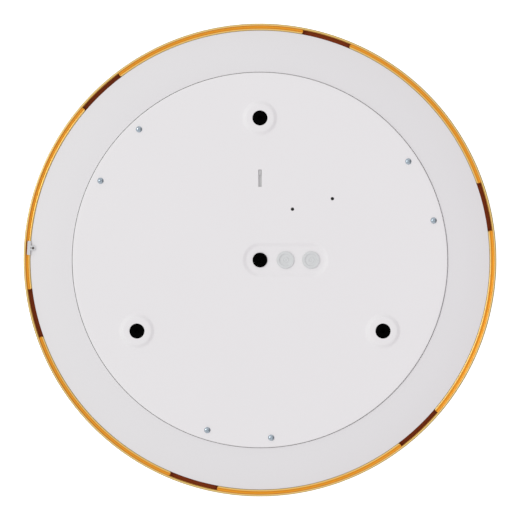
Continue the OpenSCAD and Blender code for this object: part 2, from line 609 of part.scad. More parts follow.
// Small plugs that bridge the gaps between neighbouring boards
module bridges(angles, r, sweep) {
    gap = 360 / len(angles) - sweep;
    reach = 2.2 * 57.3 / r;
    z = tray_low - board_t;
    for (a = angles) turned_part([[r - 1, z], [r - 6, z], [r - 6, z - 2.4], [r - 1, z - 2.4]],
        a + sweep - reach, gap + 2 * reach);
}
module board_connectors() color("white") {
    bridges(outer_angles, outer_r, outer_sweep);
    bridges(middle_angles, middle_r, middle_sweep);
    bridges(inner_angles, inner_r, inner_sweep);
}

// Trim ring: outer wall with a rounded top edge, a beaded flange cut by the notches, a ledge that
// closes the lugs' channel below, and a bottom lip
bead_r = 1.35;
module trim_ring() color("darkgoldenrod") {
    top = -ring_top;
    foot = 2.4;
    lip_in_r = pan_r - 1.4;
    ledge_r = flange_in_r;
    cove_r = 1.2;
    section = concat(
        arc([ring_r - foot, lip_z - lip_t + foot], foot, -90, 0, 6),
        arc([ring_r - 0.9, top - 0.9], 0.9, 0, 90, 4),
        arc([ring_in_r + 0.5, top - 0.5], 0.5, 90, 180, 3),
        arc([ring_in_r - cove_r, flange_z + cove_r], cove_r, 0, -90, 4),
        arc([flange_in_r + bead_r, flange_z - 0.1], bead_r, 40, 180, 7),
        arc([flange_in_r + 0.5, flange_under + 0.5], 0.5, 180, 270, 3),
        [[ring_in_r, flange_under], [ring_in_r, ledge_top], [ledge_r, ledge_top],
            [ledge_r, ledge_top - ledge_t], [ring_in_r, ledge_top - ledge_t], [ring_in_r, lip_z],
            [lip_in_r + 0.6, lip_z],
            [lip_in_r, lip_z - 0.6], [lip_in_r, lip_z - lip_t + 0.4], [lip_in_r + 0.4, lip_z - lip_t]]);
    difference() {
        turned(section);
        for (i = [0:bayonet_n - 1]) rotate([0, 0, notch_angle + i * 360 / bayonet_n]) notch();
    }
}
// The space cut from the flange: a curved slot whose ends bulge inward
module notch() {
    low = flange_under - 1;
    high = flange_z + 2;
    mid_r = flange_in_r + 2.6;
    end_r = 3;
    end_at = notch_sweep / 2 + 0.37;
    difference() {
        turned_part([[flange_in_r - 1, low], [ring_in_r - 0.5, low], [ring_in_r - 0.5, high],
            [flange_in_r - 1, high]], -notch_sweep / 2, notch_sweep);
        for (s = [-1, 1]) rotate([0, 0, s * end_at]) translate([mid_r, 0, low - 1])
            cylinder(h = high - low + 2, r = end_r, $fn = fn_small);
    }
}

// Diffuser: an opal dish. Its collar rests on the ring's lip, its face bellies out below.
collar_z = lip_z + 0.8;
collar_t = 2;
dish_r = pan_r - 2;
opal_t = 2.2;
// Height of the dish's outer face at radius r, by a rounded-square curve
function face_z(r, rim, deep) = collar_z - deep * pow(1 - pow(min(1, r / rim), 5), 1 / 2.2);
// Radii of the section's points, closer together near the rim
function face_r(i, n, rim) = rim * sin(90 * i / n);
module diffuser() color("ivory", 0.9) {
    n = 22;
    deep = overall_h + collar_z;
    outer = [for (i = [0:n]) [face_r(i, n, dish_r), face_z(face_r(i, n, dish_r), dish_r, deep)]];
    inner_rim = dish_r - opal_t;
    inner = [for (i = [n:-1:0])
        [face_r(i, n, inner_rim), face_z(face_r(i, n, inner_rim), inner_rim, deep - opal_t)]];
    turned(concat(outer, [[ring_in_r - 0.7, collar_z], [ring_in_r - 0.7, collar_z + collar_t],
        [inner_rim, collar_z + collar_t]], inner));
}
module diffuser_gasket() color("gray") turned([[pan_r - 0.4, lip_z], [ring_in_r - 1.4, lip_z],
    [ring_in_r - 1.4, collar_z], [pan_r - 0.4, collar_z]]);
clip_sweep = 5;
module diffuser_clips() color("lightsteelblue") {
    top = collar_z + collar_t;
    strip = 0.7;
    section = [[ring_in_r - 4.6, top], [ring_in_r - 0.1, top], [ring_in_r - 0.1, top + 11],
        [ring_in_r - 0.1 - strip, top + 11], [ring_in_r - 0.1 - strip, top + strip],
        [ring_in_r - 4.6, top + strip]];
    for (i = [0:5]) turned_part(section, 43.3 + 60 * i - clip_sweep / 2, clip_sweep);
}

ceiling_plate();
body_pan();
fixing_grommets();
cable_grommet();
spare_grommets();
plate_screws();
tray_brackets();
hold_down_tab();
tab_screw();
selector_body();
selector_knob();
terminal_block();
terminal_contacts();
terminal_pegs();
button_live();
button_neutral();
button_earth();
clamp_springs();
cord_grip();
cord_grip_screws();
earth_stud();
earth_tag();
earth_nut();
lead_live();
lead_neutral();
lead_earth();
insulating_sheet();
driver_case();
driver_cover();
driver_board();
driver_transformer();
driver_capacitors();
driver_choke();
driver_terminals();
driver_screws();
led_tray();
tray_screws();
outer_boards();
middle_boards();
inner_boards();
outer_emitters();
middle_emitters();
inner_emitters();
board_screws();
board_connectors();
output_leads();
ring_links();
trim_ring();
diffuser();
diffuser_gasket();
diffuser_clips();
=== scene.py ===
"""Looks of a round ceiling light, seen from its ceiling side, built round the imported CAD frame."""
import json
import math

import bmesh
import bpy
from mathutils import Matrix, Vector
from mathutils.geometry import delaunay_2d_cdt


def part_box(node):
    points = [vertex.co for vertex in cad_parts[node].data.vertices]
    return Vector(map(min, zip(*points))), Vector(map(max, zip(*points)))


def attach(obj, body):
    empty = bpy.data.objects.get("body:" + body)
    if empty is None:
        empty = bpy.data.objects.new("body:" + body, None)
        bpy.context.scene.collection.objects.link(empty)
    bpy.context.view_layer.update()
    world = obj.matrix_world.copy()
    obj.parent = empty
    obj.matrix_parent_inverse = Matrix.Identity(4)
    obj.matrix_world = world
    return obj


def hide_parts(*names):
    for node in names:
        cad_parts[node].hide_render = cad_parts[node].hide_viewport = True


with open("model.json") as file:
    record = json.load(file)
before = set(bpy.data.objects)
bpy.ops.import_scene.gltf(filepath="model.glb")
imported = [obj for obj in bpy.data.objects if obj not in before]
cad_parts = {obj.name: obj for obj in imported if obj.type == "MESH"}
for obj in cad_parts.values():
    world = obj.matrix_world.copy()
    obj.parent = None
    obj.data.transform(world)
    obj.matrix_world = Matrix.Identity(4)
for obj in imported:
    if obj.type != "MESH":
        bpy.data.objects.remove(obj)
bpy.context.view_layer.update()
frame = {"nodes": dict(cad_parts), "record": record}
MM = 0.001

# ---------------------------------------------------------------- sizes, in millimetres
ring_low, ring_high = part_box("trim_ring")
RING_R = ring_high.x / MM
RING_TOP = ring_high.z / MM
RING_LOW = ring_low.z / MM
RING_WALL = 2.1
RING_IN = RING_R - RING_WALL
PAN_R = RING_R - 7.2
FLANGE_IN = PAN_R + 0.1
FLANGE_TOP = RING_TOP - 3.15
FLANGE_LOW = RING_TOP - 4.3
LEDGE_TOP = FLANGE_LOW - 2.6
LEDGE_IN = PAN_R + 0.3
LIP_Z = RING_LOW + 1.6
FOOT_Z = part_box("diffuser")[0].z / MM

plate_low, plate_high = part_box("ceiling_plate")
PLATE_R = plate_high.x / MM
SHEET = 1.2
FLAT = -2.0
FLAT_LOW = FLAT - SHEET
SKIRT_LOW = plate_low.z / MM
GROOVE_IN = PLATE_R - 4
GROOVE_OUT = PLATE_R + 0.42
GROOVE_Z = SKIRT_LOW - 0.8
CONE_IN = FLAT - 1.6
CONE_OUT = FLANGE_TOP + 1.3
# Radius of a boss, and of the recess's ends, half way down a slope that is twice SLOPE wide
BOSS_R = 16.3
SLOPE = 2.5
RECESS = 1.5
FIXING_R = 150.0
FIXING_ANGLES = (90, 210, 330)
ENTRY_PITCH = 27.0
ENTRY_HOLES = (5.45, 6.85, 6.85)
SCREW_R = PLATE_R - 10.1
PAIR_START, PAIR_HALF, HEAD_TURN = 23.2, 10.4, 37
SCREW_ANGLES = [PAIR_START + 120 * i + s * PAIR_HALF for i in range(3) for s in (-1, 1)]
SCREW_TURNS = [HEAD_TURN * s - 120 * i for i in range(3) for s in (-1, 1)]
SLOT_Y, SLOT_W, SLOT_L = 86.4, 3.4, 18.0
BLOCK_AT, BLOCK_TURN, PEG_PITCH = Vector((55.4, 59.25)), 14.7, 43.6
NOTCH_START, UNLOCK_ANGLE = 13.3, 22
NOTCH_ANGLES = [NOTCH_START + 60 * i for i in range(6)]
LUG_ANGLES = [a - UNLOCK_ANGLE for a in NOTCH_ANGLES]
TAB_ANGLE = 177.0
TAB_SCREW_R = PAN_R - 2.5
TAB_TOP = RING_TOP
# Corners sharper than this angle stay sharp
SHARP = 38


# ---------------------------------------------------------------- outlines
def polar(radius, degrees, centre=(0, 0)):
    """The point at a radius and an angle from a centre."""
    a = math.radians(degrees)
    return Vector((centre[0] + radius * math.cos(a), centre[1] + radius * math.sin(a)))


def circle(radius, n=96, centre=(0, 0)):
    return [polar(radius, 360 * i / n, centre) for i in range(n)]


def stadium(radius, length, n=48, straight=14):
    """A round-ended outline drawn out along +X."""
    right = [polar(radius, -90 + 180 * i / n, (length, 0)) for i in range(n)]
    left = [polar(radius, 90 + 180 * i / n) for i in range(n)]
    steps = [length * i / straight for i in range(straight)]
    return (
        right
        + [Vector((length - s, radius)) for s in steps]
        + left
        + [Vector((s, -radius)) for s in steps]
    )


def rounded(corners, steps=5, closed=True):
    """An outline whose corners (x, y, radius) become arcs."""
    out = []
    n = len(corners)
    for i, (x, y, radius) in enumerate(corners):
        p = Vector((x, y))
        if radius == 0 or (not closed and i in (0, n - 1)):
            out.append(p)
            continue
        u = Vector(corners[i - 1][:2]) - p
        v = Vector(corners[(i + 1) % n][:2]) - p
        reach_max = 0.49 * min(u.length, v.length)
        u.normalize()
        v.normalize()
        half = u.angle(v) / 2
        reach = min(radius / math.tan(half), reach_max)
        real = reach * math.tan(half)
        centre = p + (u + v).normalized() * (real / math.sin(half))
        first, last = p + u * reach - centre, p + v * reach - centre
        a0 = math.atan2(first.y, first.x)
        turn = math.atan2(last.y, last.x) - a0
        turn = (turn + math.pi) % (2 * math.pi) - math.pi
        out += [
            centre + real * Vector((math.cos(a0 + turn * k / steps), math.sin(a0 + turn * k / steps)))
            for k in range(steps + 1)
        ]
    return out


def ease(r0, z0, r1, z1, steps=10):
    """A soft stamped slope from (r0, z0) to (r1, z1)."""
    out = []
    for k in range(steps + 1):
        t = k / steps
        out.append((r0 + (r1 - r0) * t, z0 + (z1 - z0) * t * t * (3 - 2 * t)))
    return out


# ---------------------------------------------------------------- meshes
class Skin:
    """Vertices and faces that grow loop by loop, in millimetres."""

    def __init__(self):
        self.verts = []
        self.faces = []

    def loop(self, points, z=None):
        first = len(self.verts)
        self.verts += [(p[0], p[1], p[2] if z is None else z) for p in points]
        return list(range(first, len(self.verts)))

    def bridge(self, a, b):
        n = len(a)
        for i in range(n):
            j = (i + 1) % n
            self.faces.append((a[i], a[j], b[j], b[i]))

    def chain(self, loops):
        for a, b in zip(loops, loops[1:]):
            self.bridge(a, b)

    def fill(self, outer, holes, up=True):
        """Flat triangles between one loop and the loops inside it."""
        loops = [outer, *holes]
        index = [v for loop in loops for v in loop]
        flat = [Vector(self.verts[v][:2]) for v in index]
        edges, start = [], 0
        for loop in loops:
            n = len(loop)
            edges += [(start + i, start + (i + 1) % n) for i in range(n)]
            start += n
        _, _, tris, *_ = delaunay_2d_cdt(flat, edges, [], 0, 1e-6)
        rims = [[Vector(self.verts[v][:2]) for v in loop] for loop in holes]
        rim = [Vector(self.verts[v][:2]) for v in outer]
        for t in tris:
            mid = sum((flat[i] for i in t), Vector((0, 0))) / 3
            if not inside(mid, rim) or any(inside(mid, h) for h in rims):
                continue
            a, b, c = (flat[i] for i in t)
            ccw = (b - a).cross(c - a) > 0
            ids = tuple(index[i] for i in t)
            self.faces.append(ids if ccw == up else ids[::-1])

    def cap(self, loop, up=True):
        self.faces.append(tuple(loop) if up else tuple(loop[::-1]))

    def spin(self, profile, n=360, closed=True):
        """A profile of (radius, z) turned about the Z axis. A point on the axis becomes one vertex."""
        columns = []
        for r, z in profile:
            if r < 1e-6:
                self.verts.append((0, 0, z))
                columns.append([len(self.verts) - 1] * n)
            else:
                columns.append(self.loop(circle(r, n), z))
        pairs = list(zip(columns, columns[1:]))
        if closed:
            pairs.append((columns[-1], columns[0]))
        for a, b in pairs:
            for i in range(n):
                j = (i + 1) % n
                face = [a[i], a[j], b[j], b[i]]
                unique = list(dict.fromkeys(face))
                if len(unique) > 2:
                    self.faces.append(tuple(unique))

    def prism(self, outline, low, high):
        a, b = self.loop(outline, high), self.loop(outline, low)
        self.bridge(a, b)
        self.cap(a)
        self.cap(b, up=False)

    def join(self, other, x, y):
        """Adds a copy of another skin, moved to (x, y)."""
        first = len(self.verts)
        self.verts += [(vx + x, vy + y, vz) for vx, vy, vz in other.verts]
        self.faces += [tuple(first + i for i in face) for face in other.faces]

    def arc_bar(self, section, start, sweep, n=12):
        """A closed section of (radius, z) swept over part of a turn, with flat ends."""
        cuts = []
        for i in range(n + 1):
            a = start + sweep * i / n
            cuts.append(self.loop([(*polar(r, a), z) for r, z in section]))
        self.chain(cuts)
        self.cap(cuts[0])
        self.cap(cuts[-1], up=False)


def inside(p, outline):
    """Whether a point lies within an outline."""
    hit = False
    q = outline[-1]
    for r in outline:
        if (r.y > p.y) != (q.y > p.y) and p.x < (q.x - r.x) * (p.y - r.y) / (q.y - r.y) + r.x:
            hit = not hit
        q = r
    return hit


def make(name, skin, sharp=SHARP):
    """A mesh object from a skin, in metres, with its faces turned outward and soft edges smooth."""
    mesh = bpy.data.meshes.new(name)
    mesh.from_pydata([Vector(v) * MM for v in skin.verts], [], skin.faces)
    bm = bmesh.new()
    bm.from_mesh(mesh)
    bmesh.ops.remove_doubles(bm, verts=bm.verts, dist=1e-7)
    bmesh.ops.recalc_face_normals(bm, faces=bm.faces)
    bm.to_mesh(mesh)
    bm.free()
    mesh.shade_smooth()
    mesh.set_sharp_from_angle(angle=math.radians(sharp))
    obj = bpy.data.objects.new(name, mesh)
    bpy.context.scene.collection.objects.link(obj)
    return obj


def cut(obj, tool, sharp=SHARP):
    """Takes one mesh out of another for good."""
    mod = obj.modifiers.new("cut", "BOOLEAN")
    mod.operation = "DIFFERENCE"
    mod.solver = "EXACT"
    mod.object = tool
    bpy.context.view_layer.update()
    shown = obj.evaluated_get(bpy.context.evaluated_depsgraph_get())
    mesh = bpy.data.meshes.new_from_object(shown)
    obj.modifiers.clear()
    obj.data = mesh
    bpy.data.objects.remove(tool)
    mesh.shade_smooth()
    mesh.set_sharp_from_angle(angle=math.radians(sharp))


def soften(obj, width):
    """Small round edges on every corner, kept as a modifier."""
    mod = obj.modifiers.new("soft_edges", "BEVEL")
    mod.width = width * MM
    mod.segments = 2
    mod.limit_method = "ANGLE"
    mod.angle_limit = math.radians(40)
    mod.harden_normals = False
    mod.use_clamp_overlap = True


def place(obj, body, slot, *nodes):
    """Puts a finished piece on its body in the place of CAD nodes."""
    obj.data.materials.clear()
    obj.data.materials.append(MATERIALS[slot])
    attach(obj, body)
    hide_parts(*nodes)


# ---------------------------------------------------------------- materials
# Noise scales are per metre, and colours are linear.
class Nodes:
    """A short way to write a material's nodes."""

    def __init__(self, name):
        self.material = bpy.data.materials.new(name)
        self.material.use_nodes = True
        self.tree = self.material.node_tree
        self.shader = self.tree.nodes["Principled BSDF"]
        coords = self.tree.nodes.new("ShaderNodeTexCoord")
        self.place = coords.outputs["Object"]
        self.x, self.y, self.z = self.add("SeparateXYZ", {"Vector": self.place}).outputs

    def add(self, kind, inputs=None, **settings):
        node = self.tree.nodes.new("ShaderNode" + kind)
        for key, value in settings.items():
            setattr(node, key, value)
        for key, value in (inputs or {}).items():
            self.put(node.inputs[key], value)
        return node

    def put(self, socket, value):
        if isinstance(value, bpy.types.NodeSocket):
            self.tree.links.new(value, socket)
        else:
            socket.default_value = value

    def noise(self, scale, detail=3.0, roughness=0.5, at=None):
        node = self.add("TexNoise", {"Scale": scale, "Detail": detail, "Roughness": roughness})
        self.put(node.inputs["Vector"], at or self.place)
        return node.outputs["Fac"]

    def remap(self, value, low, high, start=0.3, end=0.7):
        ins = {"Value": value, "From Min": start, "From Max": end, "To Min": low, "To Max": high}
        return self.add("MapRange", ins).outputs["Result"]

    def blend(self, factor, a, b):
        node = self.tree.nodes.new("ShaderNodeMix")
        node.data_type = "RGBA"
        self.put(node.inputs["Factor"], factor)
        self.put(node.inputs[6], a)
        self.put(node.inputs[7], b)
        return node.outputs[2]

    def math(self, operation, a, b=0.0):
        node = self.add("Math", operation=operation)
        self.put(node.inputs[0], a)
        self.put(node.inputs[1], b)
        return node.outputs[0]

    def bump(self, height, strength, distance):
        ins = {"Height": height, "Strength": strength, "Distance": distance}
        return self.add("Bump", ins).outputs["Normal"]

    def turned_place(self):
        """Coordinates that run round the Z axis, for marks left by turning and polishing."""
        around = self.math("MULTIPLY", self.math("ARCTAN2", self.y, self.x), 0.004)
        return self.add("CombineXYZ", {"X": self.radius(), "Y": self.z, "Z": around}).outputs["Vector"]

    def radius(self):
        across, along = self.math("MULTIPLY", self.x, self.x), self.math("MULTIPLY", self.y, self.y)
        return self.math("SQRT", self.math("ADD", across, along))


# Gold colours: the mid gold is the ring's own colour. The pale, deep and edge colours are painted light
# and shade, and the deep one also tints the random drift
GOLD_PAINTED_SHEEN = (0.80, 0.58, 0.21)
GOLD_MID = (0.85, 0.51, 0.126)
GOLD_DEEP_SHADE_AND_TONE = (0.80, 0.335, 0.028)
GOLD_EDGE_SHADE = (0.45, 0.345, 0.14)
GOLD_CAVITY_SHADE = (0.22, 0.034, 0.002)
# Shares of the way from the flange's inner edge to the ring's outside. The pale bands on the bead and on
# the rim's top are painted sheen, the deep orange band in the channel is painted shade from light bounced
# inside it, and the brown band at the outermost edge is painted shade; the mid gold is the ring's own
# colour
GOLD_BANDS = (
    (0.0, GOLD_PAINTED_SHEEN), (0.10, GOLD_PAINTED_SHEEN), (0.24, GOLD_MID), (0.38, GOLD_DEEP_SHADE_AND_TONE), (0.58, GOLD_DEEP_SHADE_AND_TONE),
    (0.70, GOLD_MID), (0.76, GOLD_PAINTED_SHEEN), (0.86, GOLD_PAINTED_SHEEN), (0.92, GOLD_EDGE_SHADE), (1.0, GOLD_EDGE_SHADE))
ROUGH_VARY = 0.05
WHITE_SHEET = {"spec": 0.3, "vary": 0.004, "patch": 9, "grain": 1400, "bite": 0.05, "depth": 0.01}


def rgba(colour, gain=1.0):
    return (*[min(1.0, c * gain) for c in colour], 1.0)


def surface(slot, colour, rough, metal=0.0, spec=0.5, vary=0.03, patch=60.0, grain=900.0, bite=0.1,
            depth=0.05, coat=0.0, speck=None):
    """A finish with slow colour drift, fine grain in relief and an uneven gloss."""
    m = Nodes(slot)
    drift = m.remap(m.noise(patch, 4.0), 0.0, 1.0)
    tone = m.blend(drift, rgba(colour, 1 - vary), rgba(colour, 1 + vary))
    if speck:
        spots = m.remap(m.noise(grain * 0.7, 2.0), 0.0, 1.0, 0.62, 0.72)
        tone = m.blend(spots, tone, rgba(speck))
    m.put(m.shader.inputs["Base Color"], tone)
    gloss = m.remap(m.noise(grain * 0.35, 2.0), rough - ROUGH_VARY, rough + ROUGH_VARY)
    m.put(m.shader.inputs["Roughness"], gloss)
    m.put(m.shader.inputs["Metallic"], metal)
    m.put(m.shader.inputs["Specular IOR Level"], spec)
    m.put(m.shader.inputs["Coat Weight"], coat)
    m.put(m.shader.inputs["Normal"], m.bump(m.noise(grain, 3.0), bite, depth * MM))
    return m


def gold():
    """Gold lacquer on spun metal, with light and shade painted into its colour by radius: pale bands of
    painted sheen on the bead and the rim's top, a deep orange band of painted shade in the channel, a
    brown band of painted shade at the outermost edge, and dark brown, non-metallic painted shade inside
    the wall below the flange."""
    m = Nodes("gold_satin")
    at = m.turned_place()
    radius = m.radius()
    across = m.remap(radius, 0.0, 1.0, FLANGE_IN * MM, RING_R * MM)
    ramp = m.add("ValToRGB", {"Fac": across})
    elements = ramp.color_ramp.elements
    for share, _ in GOLD_BANDS[2:]:
        elements.new(share)
    for element, (share, colour) in zip(elements, GOLD_BANDS):
        element.position = share
        element.color = rgba(colour)
    drift = m.remap(m.noise(25, 4.0), 0.0, 1.0)
    tone = m.blend(drift, ramp.outputs["Color"], m.blend(0.06, ramp.outputs["Color"], rgba(GOLD_DEEP_SHADE_AND_TONE)))
    # The outside of the wall below its top keeps the plain mid gold, without the painted edge shade
    wall = m.remap(m.z, 1.0, 0.0, (RING_TOP - 1.6) * MM, (RING_TOP - 1.0) * MM)
    outside = m.remap(radius, 0.0, 1.0, (RING_R - 0.4) * MM, (RING_R - 0.2) * MM)
    tone = m.blend(m.math("MULTIPLY", wall, outside), tone, rgba(GOLD_MID))
    # Painted shade: inside the wall, below the flange, the gold turns dark brown and non-metallic with
    # little gloss, standing in for the shade in the cavity
    below = m.remap(m.z, 1.0, 0.0, (FLANGE_LOW + 0.2) * MM, (FLANGE_LOW + 0.8) * MM)
    within = m.remap(radius, 1.0, 0.0, (RING_IN + 0.2) * MM, (RING_IN + 0.6) * MM)
    cavity_shade = m.math("MULTIPLY", below, within)
    m.put(m.shader.inputs["Base Color"], m.blend(cavity_shade, tone, rgba(GOLD_CAVITY_SHADE)))
    m.put(m.shader.inputs["Metallic"], m.math("SUBTRACT", 1.0, cavity_shade))
    m.put(m.shader.inputs["Specular IOR Level"], m.remap(cavity_shade, 0.5, 0.1, 0.0, 1.0))
    m.put(m.shader.inputs["Roughness"], m.remap(m.noise(700, 2.0, at=at), 0.34, 0.42))
    m.put(m.shader.inputs["Normal"], m.bump(m.noise(5200, 2.0, at=at), 0.03, 0.005 * MM))
    return m.material


MATERIALS = {}


def add_material(slot, *args, **kwargs):
    MATERIALS[slot] = surface(slot, *args, **kwargs).material


add_material("white_enamel", (0.705, 0.697, 0.702), 0.6, **WHITE_SHEET)
# pan_enamel is the plate's white enamel made about 6% darker: painted shade on the pan's sunk annulus,
# added to the real shade from its slope and the plate's step
add_material("pan_enamel", (0.664, 0.658, 0.664), 0.6, **WHITE_SHEET)
add_material("tab_enamel", (0.53, 0.535, 0.54), 0.5, vary=0.02, patch=120, grain=1800)
add_material("reflector_enamel", (0.86, 0.86, 0.85), 0.6, vary=0.01, patch=20, grain=1500)
MATERIALS["gold_satin"] = gold()
add_material("opal", (0.88, 0.88, 0.86), 0.22, vary=0.006, patch=10, grain=500, bite=0.03, coat=0.3)
add_material("black_rubber", (0.0012, 0.0012, 0.0012), 0.9, spec=0.0, vary=0.3, patch=300, grain=2500)
add_material("grey_rubber", (0.57, 0.585, 0.585), 0.75, spec=0.3, vary=0.03, patch=200, grain=2500)
add_material("grey_foam", (0.28, 0.28, 0.28), 0.9, spec=0.2, vary=0.15, patch=900, grain=1500, bite=0.5)
add_material("screw_steel", (0.40, 0.46, 0.52), 0.10, metal=1.0, vary=0.08, patch=400, grain=3000)
add_material("dark_screw", (0.16, 0.14, 0.13), 0.4, metal=1.0, vary=0.1, patch=500, grain=3000)
add_material("zinc_steel", (0.55, 0.56, 0.58), 0.38, metal=1.0, vary=0.12, patch=260, grain=900)
add_material("spring_steel", (0.58, 0.59, 0.60), 0.28, metal=1.0, vary=0.06, patch=300, grain=2000)
add_material("grey_plastic", (0.44, 0.44, 0.43), 0.5, vary=0.03, patch=80, grain=1600)
add_material("knob_plastic", (0.47, 0.47, 0.47), 0.5, vary=0.03, patch=150, grain=1800)
add_material("white_plastic", (0.80, 0.80, 0.78), 0.45, vary=0.02, patch=60, grain=1600)
add_material("black_plastic", (0.012, 0.012, 0.012), 0.5, spec=0.2, vary=0.2, patch=300, grain=1600)
add_material("brown_plastic", (0.22, 0.09, 0.035), 0.4, vary=0.06, patch=90, grain=1200)
add_material("blue_plastic", (0.05, 0.16, 0.50), 0.4, vary=0.06, patch=90, grain=1200)
add_material("green_plastic", (0.27, 0.48, 0.05), 0.4, vary=0.06, patch=90, grain=1200)
add_material("red_plastic", (0.50, 0.04, 0.035), 0.4, vary=0.06, patch=90, grain=1200)
add_material("board_green", (0.025, 0.20, 0.07), 0.3, vary=0.15, patch=400, grain=2000,
             speck=(0.3, 0.3, 0.25))
add_material("board_white", (0.80, 0.80, 0.78), 0.35, vary=0.03, patch=300, grain=1800,
             speck=(0.6, 0.6, 0.5))
add_material("contact_brass", (0.72, 0.52, 0.22), 0.3, metal=1.0, vary=0.08, patch=200, grain=2000)
add_material("winding_copper", (0.62, 0.26, 0.10), 0.3, metal=1.0, vary=0.12, patch=500, grain=1200,
             bite=0.5)
add_material("tape_yellow", (0.78, 0.58, 0.06), 0.3, vary=0.05, patch=200, grain=900)
add_material("can_blue", (0.04, 0.06, 0.25), 0.35, vary=0.08, patch=200, grain=1200)
add_material("phosphor", (0.86, 0.70, 0.20), 0.3, vary=0.06, patch=900, grain=2500, coat=0.5)


# ---------------------------------------------------------------- ceiling plate
# Width of the flat faces round every hole, which keep its soft shading off the flat sheet
GUARD = 0.6


def plate():
    s = Skin()
    top_holes, low_holes = [], []
    rim = plate_rim(s)
    for angle in FIXING_ANGLES:
        bored(s, polar(FIXING_R, angle), boss_profile(), 96, top_holes, low_holes)
    screw_hole = [(2.15, FLAT), (1.95, FLAT - 0.2), (1.95, FLAT_LOW)]
    for angle in SCREW_ANGLES:
        bored(s, polar(SCREW_R, angle), screw_hole, 32, top_holes, low_holes)
    peg_hole = [(1.9, FLAT), (1.78, FLAT - 0.15), (1.78, FLAT_LOW)]
    for side in (-1, 1):
        centre = BLOCK_AT + polar(side * PEG_PITCH / 2, BLOCK_TURN)
        bored(s, centre, peg_hole, 32, top_holes, low_holes)
    slot_hole(s, top_holes, low_holes)
    entry_recess(s, top_holes, low_holes)
    s.fill(rim[0], top_holes)
    s.fill(rim[-1], low_holes, up=False)
    place(make("plate_stamping", s, 50), "base", "white_enamel", "ceiling_plate")


def plate_rim(s):
    """The plate's turned-down edge, from its top sheet round to its underside."""
    flat_r, turn_in = PLATE_R - 6, PLATE_R - SHEET
    edge = rounded(
        [(flat_r, FLAT, 0), (PLATE_R, FLAT, 1.1), (PLATE_R, SKIRT_LOW, 0.3), (turn_in, SKIRT_LOW, 0.3),
         (turn_in, FLAT_LOW, 0.4), (flat_r, FLAT_LOW, 0)],
        steps=8, closed=False)
    rim = [s.loop(circle(r, 360), z) for r, z in edge]
    s.chain(rim)
    return rim


def boss_profile():
    """A fixing boss from the plate's top, up to its seat, through its hole and back to the underside."""
    seat_r, seat_depth, bore, relief = 8, 1, 5.45, 9.2
    boss = ease(BOSS_R + SLOPE, FLAT, BOSS_R - SLOPE, 0)
    boss += [(r, z) for r, z in rounded(
        [(10, 0, 0), (seat_r, 0, 0.25), (seat_r, -seat_depth, 0.15), (bore, -seat_depth, 0.2),
         (bore, FLAT_LOW, 0.2), (relief, FLAT_LOW, 0.2), (relief, -SHEET, 0.3), (12.5, -SHEET, 0)],
        steps=3, closed=False)]
    return boss + ease(BOSS_R - SLOPE - 0.6, -SHEET, BOSS_R + SLOPE - 0.6, FLAT_LOW, 6)


def bored(s, centre, profile, n, top_holes, low_holes):
    """A round form through the sheet, with a guard of flat faces at both its ends."""
    first, last = profile[0], profile[-1]
    profile = [(first[0] + GUARD, first[1]), *profile, (last[0] + GUARD, last[1])]
    loops = [s.loop(circle(r, n, centre), z) for r, z in profile]
    s.chain(loops)
    top_holes.append(loops[0])
    low_holes.append(loops[-1])


def slot_hole(s, top_holes, low_holes):
    corner = 0.3
    loops = []
    for grow, z in ((GUARD, FLAT), (0.2, FLAT), (0.06, FLAT - 0.06), (0, FLAT - 0.2), (0, FLAT_LOW),
                    (GUARD, FLAT_LOW)):
        w, h = SLOT_W / 2 + grow, SLOT_L / 2 + grow
        corners = ((-w, SLOT_Y - h), (w, SLOT_Y - h), (w, SLOT_Y + h), (-w, SLOT_Y + h))
        loops.append(s.loop(rounded([(x, y, corner) for x, y in corners], steps=3), z))
    s.chain(loops)
    top_holes.append(loops[0])
    low_holes.append(loops[-1])


def entry_recess(s, top_holes, low_holes):
    """The long recess for the cable entries, and its floor with three holes."""
    length = 2 * ENTRY_PITCH
    floor, floor_low = FLAT - RECESS, FLAT - RECESS - SHEET
    slope = ease(BOSS_R + SLOPE, FLAT, BOSS_R - SLOPE, floor)
    slope = [(BOSS_R + SLOPE + GUARD, FLAT), *slope, (BOSS_R - SLOPE - GUARD, floor)]
    slope_low = ease(BOSS_R + SLOPE + 0.4, FLAT_LOW, BOSS_R - SLOPE + 0.4, floor_low, 6)
    top = [s.loop(stadium(r, length), z) for r, z in slope]
    low = [s.loop(stadium(r, length), z) for r, z in slope_low]
    s.chain(top)
    s.chain(low)
    top_holes.append(top[0])
    low_holes.append(low[0])
    floor_holes, under_holes = [], []
    for i, r in enumerate(ENTRY_HOLES):
        profile = ((r + GUARD, floor), (r + 0.2, floor), (r, floor - 0.2), (r, floor_low))
        loops = [s.loop(circle(radius, 72, (i * ENTRY_PITCH, 0)), z) for radius, z in profile]
        s.chain(loops)
        floor_holes.append(loops[0])
        under_holes.append(loops[-1])
    s.fill(top[-1], floor_holes)
    s.fill(low[-1], under_holes, up=False)


